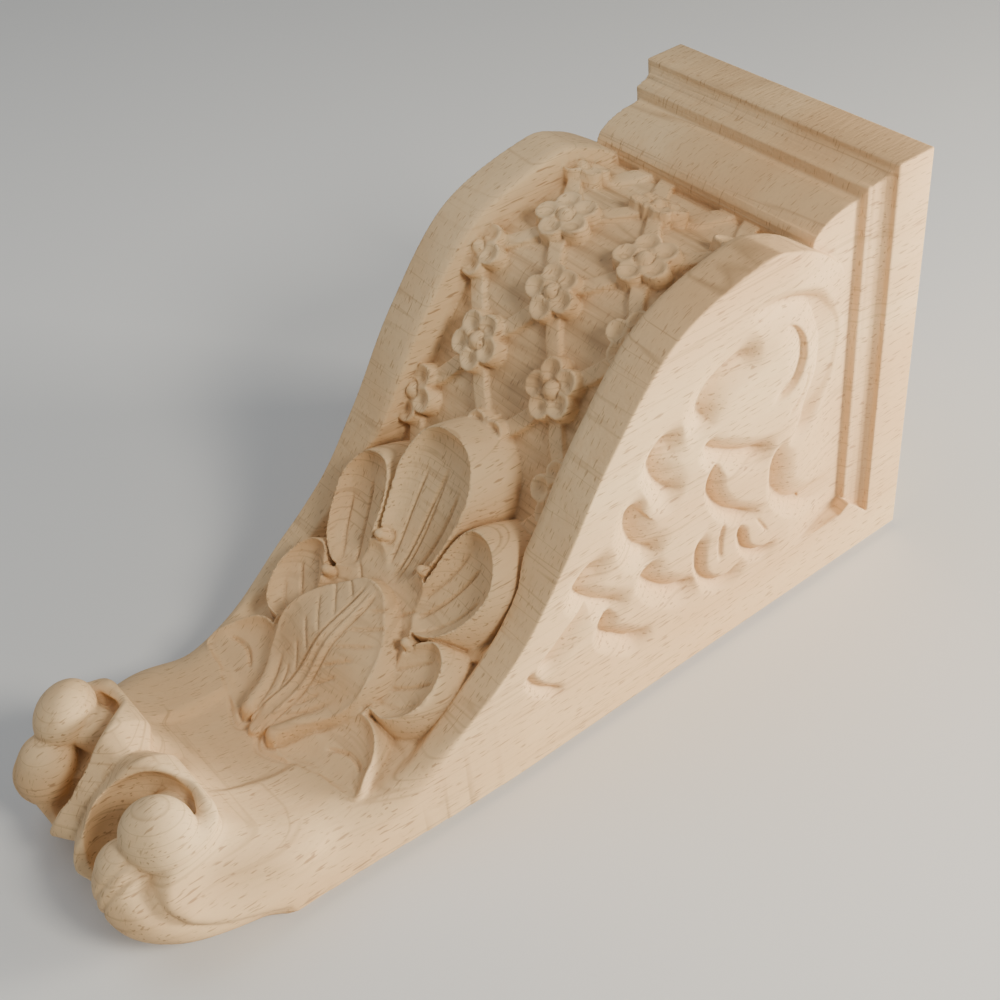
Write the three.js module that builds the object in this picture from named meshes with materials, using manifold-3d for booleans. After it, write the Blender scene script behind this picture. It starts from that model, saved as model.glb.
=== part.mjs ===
import * as THREE from "three";
import { mergeVertices } from "three/addons/utils/BufferGeometryUtils.js";
import Module from "manifold-3d";

// A carved beech corbel, made in one block. Its flat back is built into a wall and its moulded cap
// carries the load. Millimetres, +Z up, the front towards -Y, the origin in the middle of the back.

// Overall size
const width = 140;
const depth = 190;
const height = 386;

// Cap, from the top down: fascia, cove, a thin step and a bullnose that sits on the front only
const fasciaHeight = 20;
const quirk = 1.2;
const coveHeight = 10.7;
const coveInset = 7;
const coveSideInset = 4.8;
const stepHeight = 1.6;
const stepInset = 5.3;
const stepSideInset = 3;
const bullnoseHeight = 24.7;
const bullnoseInset = 10.7;
const returnStop = 17.5;

// Body: a scroll outline that swells below the cap and sweeps back to a thin neck
const crestSetback = 11;
const crestFall = 35;
const neckDepth = 28.5;
const footLength = 88;
const sideEase = 46;
const backStrip = 26;
const neckRound = 24;
const tailInset = 5;

// Sunk panel with flowers on a crossed ribbon lattice
const railWidth = 22;
const panelSink = 13;
const flowerDiameter = 26;
const flowerRise = 6.5;
const petalCup = 2.6;
const buttonShare = 0.27;
const ribbonWidth = 7.4;
const ribbonRise = 2.4;
const flowerStep = 34;
const firstFlower = 21;
const flowerRows = 5;

// Palm leaf that covers the lower front
const leafRise = 8;
const leafDish = 9;
const budRise = 17;
const rollRadius = 9;

// Paired scrolls at the foot: each has a band with a sloping face, a deep cove, a ball eye that stands
// out sideways, and a lobe that curls forward under the eye
const eyeWide = 14.3;
const eyeThick = 11.3;
const eyeSpread = 38;
const eyeLift = 30;
const eyeDepth = 49;
const faceSpread = 25;
const faceDepth = 33;
const faceSlope = [0.698, 0.506];
const scoopDepth = 18;
const scoopReach = 26;
const tongueSpread = 46;
const lobeThick = 12;

// Side carving, cut with a round gouge: each stroke is steep towards the form that it leaves standing
const gougeDepth = 5.2;
const gougeSteep = 5;
const gougeGentle = 10;

const top = height / 2;
const halfWidth = width / 2;
const panelHalf = halfWidth - railWidth;
const coveDrop = fasciaHeight + coveHeight;
const stepDrop = coveDrop + stepHeight;
const bodyHalf = halfWidth - coveSideInset - stepSideInset;
const bullnoseDepth = depth - coveInset - stepInset;
const bodyTopDepth = bullnoseDepth - bullnoseInset;
const bodyTopDrop = stepDrop + bullnoseHeight;
const crestDepth = depth - crestSetback;
const crestDrop = bodyTopDrop + crestFall;
const neckDrop = height - footLength;
const eyeDrop = height - eyeLift;

const wasm = await Module();
wasm.setup();

// Turns a closed geometry into a solid that can be joined or cut
function solid(geometry) {
  const bare = geometry.clone();
  bare.deleteAttribute("normal");
  bare.deleteAttribute("uv");
  const merged = mergeVertices(bare, 1e-4);
  const corners = merged.index.array;
  const faces = [];
  for (let i = 0; i < corners.length; i += 3) {
    const [a, b, c] = [corners[i], corners[i + 1], corners[i + 2]];
    if (a !== b && b !== c && c !== a) {
      faces.push(a, b, c);
    }
  }
  return new wasm.Manifold(new wasm.Mesh({
    numProp: 3,
    vertProperties: new Float32Array(merged.attributes.position.array),
    triVerts: new Uint32Array(faces),
  }));
}

function geometryOf(shape) {
  const mesh = shape.getMesh();
  const geometry = new THREE.BufferGeometry();
  geometry.setAttribute("position", new THREE.BufferAttribute(new Float32Array(mesh.vertProperties), 3));
  geometry.setIndex(new THREE.BufferAttribute(new Uint32Array(mesh.triVerts), 1));
  geometry.computeVertexNormals();
  return geometry;
}

// Moves every vertex of a geometry by a rule
function moved(geometry, rule) {
  const position = geometry.attributes.position;
  const point = new THREE.Vector3();
  for (let i = 0; i < position.count; i += 1) {
    point.fromBufferAttribute(position, i);
    rule(point);
    position.setXYZ(i, point.x, point.y, point.z);
  }
  return geometry;
}

// The same geometry on the other side of the middle, with its faces still pointing out
function mirrored(geometry) {
  const copy = geometry.clone().applyMatrix4(new THREE.Matrix4().makeScale(-1, 1, 1));
  if (copy.index === null) {
    copy.setIndex([...Array(copy.attributes.position.count).keys()]);
  }
  const corners = copy.index.array;
  for (let i = 0; i < corners.length; i += 3) {
    [corners[i], corners[i + 1]] = [corners[i + 1], corners[i]];
  }
  return copy;
}

// Front outline of the body as depth and drop, with the sweep given as shares from crest to neck
const sweep = [[0.914, 0.204], [0.681, 0.364], [0.429, 0.488], [0.216, 0.617], [0.033, 0.825]];
const outline = new THREE.SplineCurve([
  new THREE.Vector2(bodyTopDepth, bodyTopDrop),
  new THREE.Vector2(crestDepth - 3, crestDrop - 19),
  new THREE.Vector2(crestDepth, crestDrop),
  ...sweep.map(([deep, low]) => new THREE.Vector2(
    neckDepth + (crestDepth - neckDepth) * deep,
    crestDrop + (neckDrop - crestDrop) * low,
  )),
  new THREE.Vector2(neckDepth, neckDrop),
  new THREE.Vector2(neckDepth + 4, neckDrop + 24),
]);
const outlineLength = outline.getLength();

// A point on the front: across from the middle, along the outline from the cap, and out from the rail
function onFront(across, along, rise) {
  const share = THREE.MathUtils.clamp(along / outlineLength, 0, 1);
  const at = outline.getPointAt(share);
  const way = outline.getTangentAt(share);
  const past = along - share * outlineLength;
  const deep = at.x + way.x * past + way.y * rise;
  const low = at.y + way.y * past - way.x * rise;
  return new THREE.Vector3(across, -deep, top - low);
}

// Bends a flat ornament onto the front: X stays across, -Y runs down the outline, Z stands out
function bent(geometry) {
  return moved(geometry, (point) => point.copy(onFront(point.x, -point.y, point.z)));
}

// The block behind the front outline, its front edges rounded more and more towards the neck
function trunk() {
  const columns = 10;
  const rows = 22;
  const block = new THREE.BoxGeometry(2, 1, 1, columns, 1, rows);
  return solid(moved(block, (point) => {
    const along = (0.5 - point.z) * outlineLength;
    const front = onFront(0, along, 0);
    const low = top - front.z;
    const spread = Math.sin(point.x * Math.PI / 2);
    const narrowing = tailInset * THREE.MathUtils.smoothstep(low, neckDrop - 80, neckDrop + 24);
    const half = halfWidth - narrowing;
    const across = spread * half;
    const round = neckRound * THREE.MathUtils.smoothstep(low, neckDrop - 70, neckDrop - 6) + 0.01;
    const over = Math.max(0, Math.abs(across) - (half - round));
    const cut = round - Math.sqrt(Math.max(0, round * round - over * over));
    point.set(across, point.y > 0 ? 0 : front.y + cut, front.z);
  }));
}

// A moulding outline run across the front, as depth and drop pairs
function acrossRun(points, half) {
  const shape = new THREE.Shape(points.map(([deep, low]) => new THREE.Vector2(deep, -low)));
  const run = new THREE.ExtrudeGeometry(shape, { depth: 2 * half, bevelEnabled: false });
  const turn = new THREE.Matrix4().makeBasis(
    new THREE.Vector3(0, -1, 0), new THREE.Vector3(0, 0, 1), new THREE.Vector3(-1, 0, 0));
  run.applyMatrix4(turn);
  run.translate(half, 0, top);
  return solid(run);
}

// A moulding outline run from the back to the front, as across and drop pairs
function depthRun(points, length) {
  const shape = new THREE.Shape(points.map(([across, low]) => new THREE.Vector2(across, -low)));
  const run = new THREE.ExtrudeGeometry(shape, { depth: length, bevelEnabled: false });
  const turn = new THREE.Matrix4().makeBasis(
    new THREE.Vector3(1, 0, 0), new THREE.Vector3(0, 0, 1), new THREE.Vector3(0, -1, 0));
  run.applyMatrix4(turn);
  run.translate(0, 0, top);
  return solid(run);
}

// Points on a quarter round between two corners, hollow for a cove and full for a bullnose
function quarter(from, to, hollow, steps) {
  const points = [];
  for (let i = 1; i < steps; i += 1) {
    const angle = (i / steps) * Math.PI / 2;
    const a = hollow ? 1 - Math.cos(angle) : Math.sin(angle);
    const b = hollow ? Math.sin(angle) : 1 - Math.cos(angle);
    points.push([from[0] + (to[0] - from[0]) * b, from[1] + (to[1] - from[1]) * a]);
  }
  return points;
}

// One side of the cap's moulding, from the outer edge of the top down to the foot of the step
function capEdge(reach, insetCove, insetStep) {
  const cove = [[reach - quirk, fasciaHeight], [reach - insetCove, coveDrop]];
  return [
    [reach, 0], [reach, fasciaHeight], cove[0],
    ...quarter(cove[0], cove[1], true, 4),
    cove[1], [reach - insetCove - insetStep, stepDrop],
  ];
}

// The cap is where its front and side mouldings meet, and both stop against the plain back strip
function cap() {
  const front = capEdge(depth, coveInset, stepInset);
  const side = capEdge(halfWidth, coveSideInset, stepSideInset);
  const frontRun = acrossRun([[0, 0], ...front, [0, stepDrop]], halfWidth);
  const opposite = side.map(([across, low]) => [-across, low]).reverse();
  const sideRun = depthRun([...side.slice().reverse(), ...opposite.reverse()], depth);
  const strip = acrossRun([
    [0, 0], [returnStop, 0], [returnStop, fasciaHeight], [returnStop + stepDrop - fasciaHeight, stepDrop],
    [backStrip, stepDrop + 6], [backStrip, bodyTopDrop], [0, bodyTopDrop],
  ], halfWidth);
  return frontRun.intersect(sideRun).add(strip);
}

// The bullnose under the cap and the plain core that carries the cap
function bullnose() {
  const start = [bullnoseDepth, stepDrop];
  const end = [bodyTopDepth, bodyTopDrop];
  const round = quarter(start, end, false, 5);
  return acrossRun([
    [0, coveDrop], [bullnoseDepth - 0.4, coveDrop], start, ...round, end, [0, bodyTopDrop],
  ], bodyHalf);
}

// The wedge of waste cut from the right side below the cap, in front of the back strip
function sideWaste() {
  const clear = halfWidth + 9;
  const points = [
    [clear, stepDrop], [clear, stepDrop + sideEase], [halfWidth, stepDrop + sideEase],
    [bodyHalf + (halfWidth - bodyHalf) * 0.45, stepDrop + sideEase * 0.5], [bodyHalf, stepDrop],
  ];
  const inFront = new THREE.BoxGeometry(width * 2, depth, height * 2).translate(0, -depth / 2 - backStrip, 0);
  return depthRun(points, depth).intersect(solid(inFront));
}

// The sunk panel between the rails
function panel() {
  const steps = 18;
  const panelLength = outlineLength * 0.62;
  const cutter = new THREE.BoxGeometry(2 * panelHalf, panelLength, panelSink + 30, 1, steps, 1);
  cutter.translate(0, -panelLength / 2, (30 - panelSink) / 2);
  return solid(bent(cutter));
}

// A five-petalled flower, raised round its edge, with a domed button in the middle
function flower(across, along) {
  const radius = flowerDiameter / 2;
  const petals = new THREE.Shape();
  const steps = 15;
  for (let i = 0; i < steps; i += 1) {
    const angle = (i / steps) * 2 * Math.PI;
    const reach = radius * (0.88 + 0.12 * Math.cos(5 * angle));
    const [x, y] = [reach * Math.sin(angle), reach * Math.cos(angle)];
    if (i === 0) {
      petals.moveTo(x, y);
    } else {
      petals.lineTo(x, y);
    }
  }
  petals.closePath();
  const plate = new THREE.ExtrudeGeometry(petals, { depth: flowerRise + 2, bevelEnabled: false });
  plate.translate(across, -along, -panelSink - 2);
  const face = flowerRise - panelSink;
  const round = 4;
  const hollow = new THREE.SphereGeometry(1, 10, 4).rotateX(Math.PI / 2);
  hollow.scale(radius * 0.82, radius * 0.82, round).translate(across, -along, face + round - petalCup);
  const button = new THREE.SphereGeometry(1, 6, 3).rotateX(Math.PI / 2);
  button.scale(radius * buttonShare, radius * buttonShare, petalCup + 0.8);
  button.translate(across, -along, face - petalCup);
  return solid(bent(plate)).subtract(solid(bent(hollow))).add(solid(bent(button)));
}

// A flat ribbon between two flowers
function ribbon(from, to) {
  const length = Math.hypot(to[0] - from[0], to[1] - from[1]);
  const band = new THREE.BoxGeometry(ribbonWidth, length, ribbonRise + 2, 1, 2, 1);
  band.translate(0, 0, -panelSink + ribbonRise / 2 - 1);
  band.rotateZ(Math.atan2(to[0] - from[0], to[1] - from[1]));
  band.translate((from[0] + to[0]) / 2, -(from[1] + to[1]) / 2, 0);
  return solid(bent(band));
}

// Flowers sit on every second crossing, and the ribbons join them both ways
function lattice() {
  const columnStep = panelHalf / 2;
  const carving = [];
  for (let row = 0; row <= flowerRows; row += 1) {
    for (let column = -2; column <= 2; column += 1) {
      const along = firstFlower + row * flowerStep;
      if ((row + column) % 2 === 0) {
        if (row < flowerRows) {
          carving.push(flower(column * columnStep, along));
        }
        for (const way of [-1, 1]) {
          if (Math.abs(column + way) <= 2) {
            const next = [(column + way) * columnStep, along - flowerStep];
            carving.push(ribbon([column * columnStep, along], next));
          }
        }
      }
    }
  }
  return wasm.Manifold.union(carving);
}

// A spoon-hollowed leaf lobe with a thick rim and steep walls, lying on the front
function lobe({
  across, along, wide, long, turn = 0, taper = 0, rise = leafRise, dish = leafDish, wall = 18,
}) {
  const profile = [
    [0, -wall], [1.12, -wall], [1.02, rise * 0.4], [0.93, rise], [0.8, rise * 0.9],
    [0.55, rise - dish * 0.8], [0, rise - dish],
  ].map(([r, h]) => new THREE.Vector2(r, h));
  const form = new THREE.LatheGeometry(profile, 11).rotateX(Math.PI / 2);
  moved(form, (point) => {
    point.x *= wide * (1 + taper * point.y);
    point.y *= long;
  });
  form.rotateZ(turn).translate(across, -along, 0);
  return solid(bent(form));
}

// Seven lobes fan round a bulging bud, with a pair of round rolls at the root
function leaf() {
  const size = outlineLength / 328;
  const part = halfWidth / 70;
  const forms = [lobe({ across: 0, along: 186 * size, wide: 23 * part, long: 36 * size, taper: 0.25 })];
  for (const side of [-1, 1]) {
    forms.push(lobe({
      across: side * 34 * part, along: 208 * size, wide: 19 * part, long: 31 * size,
      turn: -side * 0.45, taper: 0.25, wall: 12,
    }));
    forms.push(lobe({
      across: side * 39 * part, along: 250 * size, wide: 17 * part, long: 25 * size,
      turn: -side * 0.95, taper: 0.2, wall: 8,
    }));
    forms.push(lobe({
      across: side * 37 * part, along: 285 * size, wide: 14 * part, long: 24 * size,
      turn: -side * 1.5, wall: 6, rise: leafRise * 0.75, dish: leafDish * 0.8,
    }));
    const roll = new THREE.SphereGeometry(rollRadius, 8, 5);
    forms.push(solid(bent(roll.translate(side * rollRadius, -302 * size, rollRadius / 3))));
  }
  const mound = new THREE.SphereGeometry(1, 10, 5).rotateX(Math.PI / 2);
  forms.push(solid(bent(mound.scale(44 * part, 62 * size, leafRise * 0.6).translate(0, -246 * size, 0))));
  const bud = new THREE.SphereGeometry(1, 12, 8);
  moved(bud, (point) => point.set(
    30 * part * point.x * (1 - 0.25 * point.y), 39 * size * point.y, budRise * point.z));
  forms.push(solid(bent(bud.translate(0, -266 * size, 0))));
  return wasm.Manifold.union(forms);
}

// A solid made of rings of points, each joined to the next, and closed flat at both ends
function ringed(rings) {
  const count = rings[0].length;
  const last = (rings.length - 1) * count;
  const corners = [];
  for (let i = 0; i + 1 < rings.length; i += 1) {
    for (let j = 0; j < count; j += 1) {
      const a = i * count + j;
      const b = i * count + ((j + 1) % count);
      corners.push(a, b, b + count, a, b + count, a + count);
    }
  }
  for (let j = 1; j + 1 < count; j += 1) {
    corners.push(0, j + 1, j, last, last + j, last + j + 1);
  }
  const points = rings.flat();
  let volume = 0;
  for (let i = 0; i < corners.length; i += 3) {
    const [a, b, c] = [points[corners[i]], points[corners[i + 1]], points[corners[i + 2]]];
    volume += a.dot(b.clone().cross(c));
  }
  const geometry = new THREE.BufferGeometry();
  const values = points.flatMap((point) => [point.x, point.y, point.z]);
  geometry.setAttribute("position", new THREE.BufferAttribute(new Float32Array(values), 3));
  geometry.setIndex(volume > 0 ? corners : corners.reverse());
  return solid(geometry);
}

// A round bar along a curve through points given as across, depth, drop and radius
function bar(stops, steps, sides) {
  const path = new THREE.CatmullRomCurve3(stops.map(([across, deep, low]) => (
    new THREE.Vector3(across, -deep, top - low))));
  const widths = new THREE.SplineCurve(stops.map(([, , , radius], i) => new THREE.Vector2(i, radius)));
  const frames = path.computeFrenetFrames(steps);
  const rings = [];
  for (let i = 0; i <= steps; i += 1) {
    const ring = [];
    const centre = path.getPoint(i / steps);
    const radius = widths.getPoint(i / steps).y;
    for (let j = 0; j < sides; j += 1) {
      const angle = (j / sides) * 2 * Math.PI;
      ring.push(centre.clone()
        .addScaledVector(frames.normals[i], radius * Math.cos(angle))
        .addScaledVector(frames.binormals[i], radius * Math.sin(angle)));
    }
    rings.push(ring);
  }
  return ringed(rings);
}

const scrollFace = new THREE.Vector3(faceSlope[0], -faceSlope[1], -faceSlope[1]).normalize();
const eyeCentre = new THREE.Vector3(eyeSpread, -eyeDepth, top - eyeDrop);

// Turns a shape that stands on its own Y axis to look out of a scroll's face, and sets it in place
function onScroll(geometry, place) {
  const turn = new THREE.Quaternion().setFromUnitVectors(new THREE.Vector3(0, 1, 0), scrollFace);
  return solid(geometry.applyQuaternion(turn).translate(place.x, place.y, place.z));
}

// The mass of the foot, as depth and drop: the front of the neck swells over the band and curls under
function footMass() {
  const curl = new THREE.SplineCurve([
    [neckDepth + 0.5, neckDrop + 2], [33, eyeDrop - 36], [41, eyeDrop - 23], [50, eyeDrop - 22],
    [57, eyeDrop - 13], [57.5, eyeDrop - 4], [53, eyeDrop + 4], [47, eyeDrop + 13], [38, eyeDrop + 20],
    [30, height], [22, height], [17, eyeDrop + 15], [11, eyeDrop], [5, eyeDrop - 17],
  ].map(([deep, low]) => new THREE.Vector2(deep, low)));
  const points = curl.getPoints(18).map((point) => [point.x, Math.min(point.y, height)]);
  return acrossRun([[0, eyeDrop - 30], [0, neckDrop + 2], ...points], halfWidth - tailInset);
}

// What is cut from the outer side of the foot mass: the sloping face, the cove, the scooped flank and
// the corner below the flank's rounded tongue
function scrollCuts() {
  const reach = 90;
  const faceAt = new THREE.Vector3(faceSpread, -faceDepth, top - eyeDrop);
  const beyond = onScroll(new THREE.BoxGeometry(reach, reach, reach).translate(0, reach / 2, 0), faceAt);
  const flankTurn = new THREE.Vector3(-0.77, -0.595, -0.234);
  const turn = new THREE.Quaternion().setFromUnitVectors(new THREE.Vector3(0, 1, 0), flankTurn.normalize());
  const apart = new THREE.BoxGeometry(reach, reach, reach).translate(0, reach / 2, 0).applyQuaternion(turn);
  apart.translate(eyeCentre.x, eyeCentre.y, eyeCentre.z);
  const face = beyond.intersect(solid(apart));
  const cove = bar([
    [40, 48, eyeDrop - 14, 2], [35, 50, eyeDrop - 16, 4], [26, 51, eyeDrop - 13, 8], [18, 49, eyeDrop - 6, 9],
    [14, 44, eyeDrop + 2, 9], [14, 38, eyeDrop + 8, 9], [17, 30, eyeDrop + 14, 9],
  ], 8, 8);
  const scoop = new THREE.SphereGeometry(1, 12, 8).scale(scoopDepth + 6, scoopReach, scoopReach);
  scoop.translate(halfWidth + 1, -46, top - eyeDrop + 4);
  const past = acrossRun([
    [reach, eyeDrop + 4], [48, eyeDrop + 4], [41, eyeDrop + 7.5], [30, eyeDrop + 10.5], [20, eyeDrop + 4],
    [13, eyeDrop - 6], [9, eyeDrop - 18], [6, eyeDrop - 34], [-1, eyeDrop - 34], [-1, height + 1],
    [reach, height + 1],
  ], width);
  const outer = new THREE.BoxGeometry(width, 2 * reach, 2 * reach);
  outer.translate(width / 2 + tongueSpread, 0, -top);
  return wasm.Manifold.union([face, cove, solid(scoop), past.intersect(solid(outer))]);
}

// The ball eye on its stalk, and the lobe that curls forward under it
function eyeAndLobe() {
  const ball = onScroll(new THREE.SphereGeometry(1, 12, 7).scale(eyeWide, eyeThick, eyeWide), eyeCentre);
  const stalkLong = 2 * eyeThick;
  const stalk = new THREE.CylinderGeometry(eyeWide * 0.62, eyeWide * 0.8, stalkLong, 10);
  const stem = onScroll(stalk.translate(0, -stalkLong / 2, 0), eyeCentre);
  const lobe = bar([
    [55, 6, eyeDrop - 26, 7], [53, 11, eyeDrop - 8.5, 8], [50, 15, eyeDrop + 3.5, 9],
    [45, 19.5, eyeDrop + 11.5, 10.5], [40, 24, eyeDrop + 15.5, 11.5], [34.5, 30, eyeDrop + 16, lobeThick],
    [33, 36, eyeDrop + 13.5, 11.5], [33, 42, eyeDrop + 11, 9], [33, 46, eyeDrop + 9, 5],
  ], 10, 9);
  const half = new THREE.BoxGeometry(width, depth, height).translate(width / 2, -depth / 2, 0);
  return wasm.Manifold.union([ball, stem, lobe]).intersect(solid(half));
}

// One stroke of the gouge along a curve on the right side, given as depth and drop, with a point of the
// form that it leaves standing. The steep side of the cut bulges, and the other side is a ramp.
function stroke(stops, standing, share = 1, steps = 5) {
  const path = new THREE.SplineCurve(stops.map(([deep, low]) => new THREE.Vector2(deep, low)));
  const proud = 2;
  const middle = path.getPoint(0.5);
  const middleWay = path.getTangent(0.5);
  const toForm = (standing[0] - middle.x) * middleWay.y - (standing[1] - middle.y) * middleWay.x;
  const turn = Math.sign(toForm);
  const rings = [];
  for (let i = 0; i <= steps; i += 1) {
    const at = path.getPoint(i / steps);
    const way = path.getTangent(i / steps);
    const size = share * (0.25 + 0.75 * Math.sin(Math.PI * i / steps) ** 0.6);
    const place = (aside, out) => new THREE.Vector3(
      halfWidth + out, -(at.x + way.y * aside * size * turn), top - (at.y - way.x * aside * size * turn));
    rings.push([
      place(gougeSteep, proud), place(gougeSteep, 0), place(gougeSteep * 0.3, -gougeDepth * 0.4 * size),
      place(0, -gougeDepth * size), place(-gougeGentle, 0), place(-gougeGentle, proud),
    ]);
  }
  return ringed(rings);
}

// The strokes on one side: a scroll under the crest, scallops that shrink down the sweep, and a tail
function sideCarving() {
  return wasm.Manifold.union([
    stroke([[159, 100], [157, 86], [145, 57], [122, 45], [106, 47], [92, 58], [83, 78]], [110, 30], 1, 8),
    stroke([[147, 80], [131, 65], [122, 65], [114, 71], [110.5, 85]], [100, 60], 0.55),
    stroke([[142, 88], [139, 103], [126, 119], [116, 114]], [120, 95]),
    stroke([[114, 113], [106, 115], [91, 93], [88, 79]], [112, 90]),
    stroke([[122, 128], [121, 138], [107, 143], [94, 129]], [105, 125]),
    stroke([[100, 148], [92, 157], [77, 152], [69, 141]], [84, 138]),
    stroke([[70, 143], [59, 150], [43, 133], [42, 120]], [58, 128]),
    stroke([[84, 166], [75, 184], [66, 178], [54, 159]], [72, 163], 0.9),
    stroke([[58, 164], [45, 173], [37, 165], [34, 148]], [48, 153], 0.8),
    stroke([[97, 104], [84, 115], [63, 99], [56, 86]], [78, 90], 0.85),
    stroke([[60, 99], [49, 98], [35, 86], [36, 76]], [52, 82], 0.6),
    stroke([[68, 118], [43, 121], [33, 104], [40, 97]], [50, 108], 0.6),
    stroke([[91, 73], [73, 78], [51, 68], [41, 38]], [62, 52]),
    stroke([[67, 172], [63, 186], [48, 209]], [75, 190], 0.7),
  ]);
}

const half = new THREE.BoxGeometry(width, depth * 2, height * 2).translate(width / 2, 0, 0);
const blank = wasm.Manifold.union([trunk().subtract(panel()), bullnose(), footMass()]);
const waste = wasm.Manifold.union([scrollCuts(), sideCarving(), sideWaste()]);
const cutHalf = blank.intersect(solid(half)).subtract(waste);
const rightHalf = wasm.Manifold.union([cutHalf, eyeAndLobe()]);
const leftHalf = solid(mirrored(geometryOf(rightHalf)));
const body = wasm.Manifold.union([rightHalf, leftHalf, cap(), lattice(), leaf()]);

const beech = new THREE.MeshStandardMaterial({ color: 0xc9ac87, roughness: 0.8, metalness: 0 });
const corbel = new THREE.Mesh(geometryOf(body), beech);
corbel.name = "corbel";

const group = new THREE.Group();
group.add(corbel);

export default group;
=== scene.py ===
import math
import bpy
import numpy as np
from mathutils import Matrix, Vector


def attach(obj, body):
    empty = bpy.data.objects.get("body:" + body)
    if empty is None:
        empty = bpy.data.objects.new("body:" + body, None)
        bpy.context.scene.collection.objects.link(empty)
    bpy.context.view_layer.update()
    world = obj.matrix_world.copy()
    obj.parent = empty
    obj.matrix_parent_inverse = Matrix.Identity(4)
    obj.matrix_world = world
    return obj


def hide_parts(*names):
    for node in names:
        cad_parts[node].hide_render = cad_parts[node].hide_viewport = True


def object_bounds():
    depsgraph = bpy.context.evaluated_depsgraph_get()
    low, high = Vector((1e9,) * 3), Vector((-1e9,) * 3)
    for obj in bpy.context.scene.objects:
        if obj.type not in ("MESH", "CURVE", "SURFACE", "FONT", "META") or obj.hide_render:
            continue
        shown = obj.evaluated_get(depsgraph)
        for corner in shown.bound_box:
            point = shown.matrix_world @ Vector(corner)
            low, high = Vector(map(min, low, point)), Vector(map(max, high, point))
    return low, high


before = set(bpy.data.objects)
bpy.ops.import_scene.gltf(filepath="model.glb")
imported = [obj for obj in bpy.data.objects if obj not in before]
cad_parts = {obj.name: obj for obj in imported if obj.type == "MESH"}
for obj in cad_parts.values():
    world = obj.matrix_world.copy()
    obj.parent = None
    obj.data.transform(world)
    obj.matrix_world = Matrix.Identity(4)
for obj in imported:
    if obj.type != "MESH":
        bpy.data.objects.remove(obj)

cad_box = [[float(value) for value in corner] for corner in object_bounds()]

# Camera: below the foot of the corbel and to its right, looking up at the carved front, rolled until
# the cap stands in the upper right corner of the picture.
eye = Vector((0.3935, -0.4746, -0.2408))
picture_right = Vector((0.61499, 0.08576, 0.78386))
picture_up = Vector((-0.47248, -0.75578, 0.45339))
lens_mm = 54.24
camera_data = bpy.data.cameras.new("camera")
camera_data.lens = lens_mm
camera_data.sensor_width = 36
camera_data.clip_start = 0.01
camera = bpy.data.objects.new("camera", camera_data)
backwards = picture_right.cross(picture_up)
turn = Matrix((picture_right, picture_up, backwards)).transposed().to_4x4()
camera.matrix_world = Matrix.Translation(eye) @ turn
bpy.context.scene.collection.objects.link(camera)
bpy.context.scene.camera = camera

# The block: one piece of beech, sawn to a scroll outline with a moulded cap on top. It is worked out
# as distances to the finished surface in millimetres, wood being below zero, on the right half only.
# Places are measured across from the middle, deep from the wall and low from the top of the cap.
half_width = cad_box[1][0] * 1000
depth = -cad_box[0][1] * 1000
top = cad_box[1][2] * 1000
height = top - cad_box[0][2] * 1000

# The grid of places is finer over the leaf and the foot than round the cap
step = 0.64
wide_step = 0.8
fine_deep = 132.0
fine_low = 150.0
across = np.arange(0, half_width + 2 * step, step, dtype=np.float32)
deep = np.concatenate([np.arange(-1.5 * step, fine_deep, step),
                       np.arange(fine_deep, depth + 2 * wide_step, wide_step)]).astype(np.float32)
low = np.concatenate([np.arange(-1.5 * wide_step, fine_low, wide_step),
                      np.arange(fine_low, height + 2 * step, step)]).astype(np.float32)
side_deep, side_low = np.meshgrid(deep, low, indexing="ij")
plan_across, plan_low = np.meshgrid(across, low, indexing="ij")


def ease(start, end, value):
    share = np.clip((value - start) / (end - start), 0, 1)
    return share * share * (3 - 2 * share)


def flowing(points, closed=False, pieces=8):
    """Points on a smooth curve through the given ones."""
    points = np.array(points, float)
    if closed:
        ring = np.vstack([points[-1:], points, points[:2]])
    else:
        ring = np.vstack([2 * points[0] - points[1], points, 2 * points[-1] - points[-2]])
    curve = []
    for i in range(1, len(ring) - 2):
        before, start, end, after = ring[i - 1:i + 3]
        for t in np.linspace(0, 1, pieces, endpoint=False):
            bend = 2 * before - 5 * start + 4 * end - after
            twist = 3 * start - before - 3 * end + after
            curve.append(0.5 * (2 * start + (end - before) * t + bend * t * t + twist * t ** 3))
    curve.append(ring[-2])
    return np.array(curve)


def distance_to(curve, u, v):
    """Distance to a curve, its sign by side (left is positive), and the share of the way along it."""
    best = np.full(u.shape, 1e9, np.float32)
    side = np.zeros(u.shape, np.float32)
    along = np.zeros(u.shape, np.float32)
    lengths = np.hypot(*np.diff(curve, axis=0).T)
    total = lengths.sum()
    passed = 0.0
    for (au, av), (bu, bv), length in zip(curve[:-1], curve[1:], lengths):
        if length < 1e-9:
            continue
        du = (bu - au) / length
        dv = (bv - av) / length
        run = np.clip((u - au) * du + (v - av) * dv, 0, length)
        ru = u - au - run * du
        rv = v - av - run * dv
        gap = np.hypot(ru, rv)
        nearer = gap < best
        best = np.where(nearer, gap, best)
        side = np.where(nearer, np.sign(du * rv - dv * ru), side)
        along = np.where(nearer, (passed + run) / total, along)
        passed += length
    return best, side, along


def inside_of(curve, u, v):
    """Signed distance to a closed curve, below zero inside it."""
    gap = distance_to(curve, u, v)[0]
    within = np.zeros(u.shape, bool)
    for (au, av), (bu, bv) in zip(curve[:-1], curve[1:]):
        if av != bv:
            crosses = (av > v) != (bv > v)
            within ^= crosses & (u < (bu - au) * (v - av) / (bv - av) + au)
    return np.where(within, -gap, gap)


def closed_shape(points):
    return np.array(list(points) + [points[0]], float)


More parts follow.
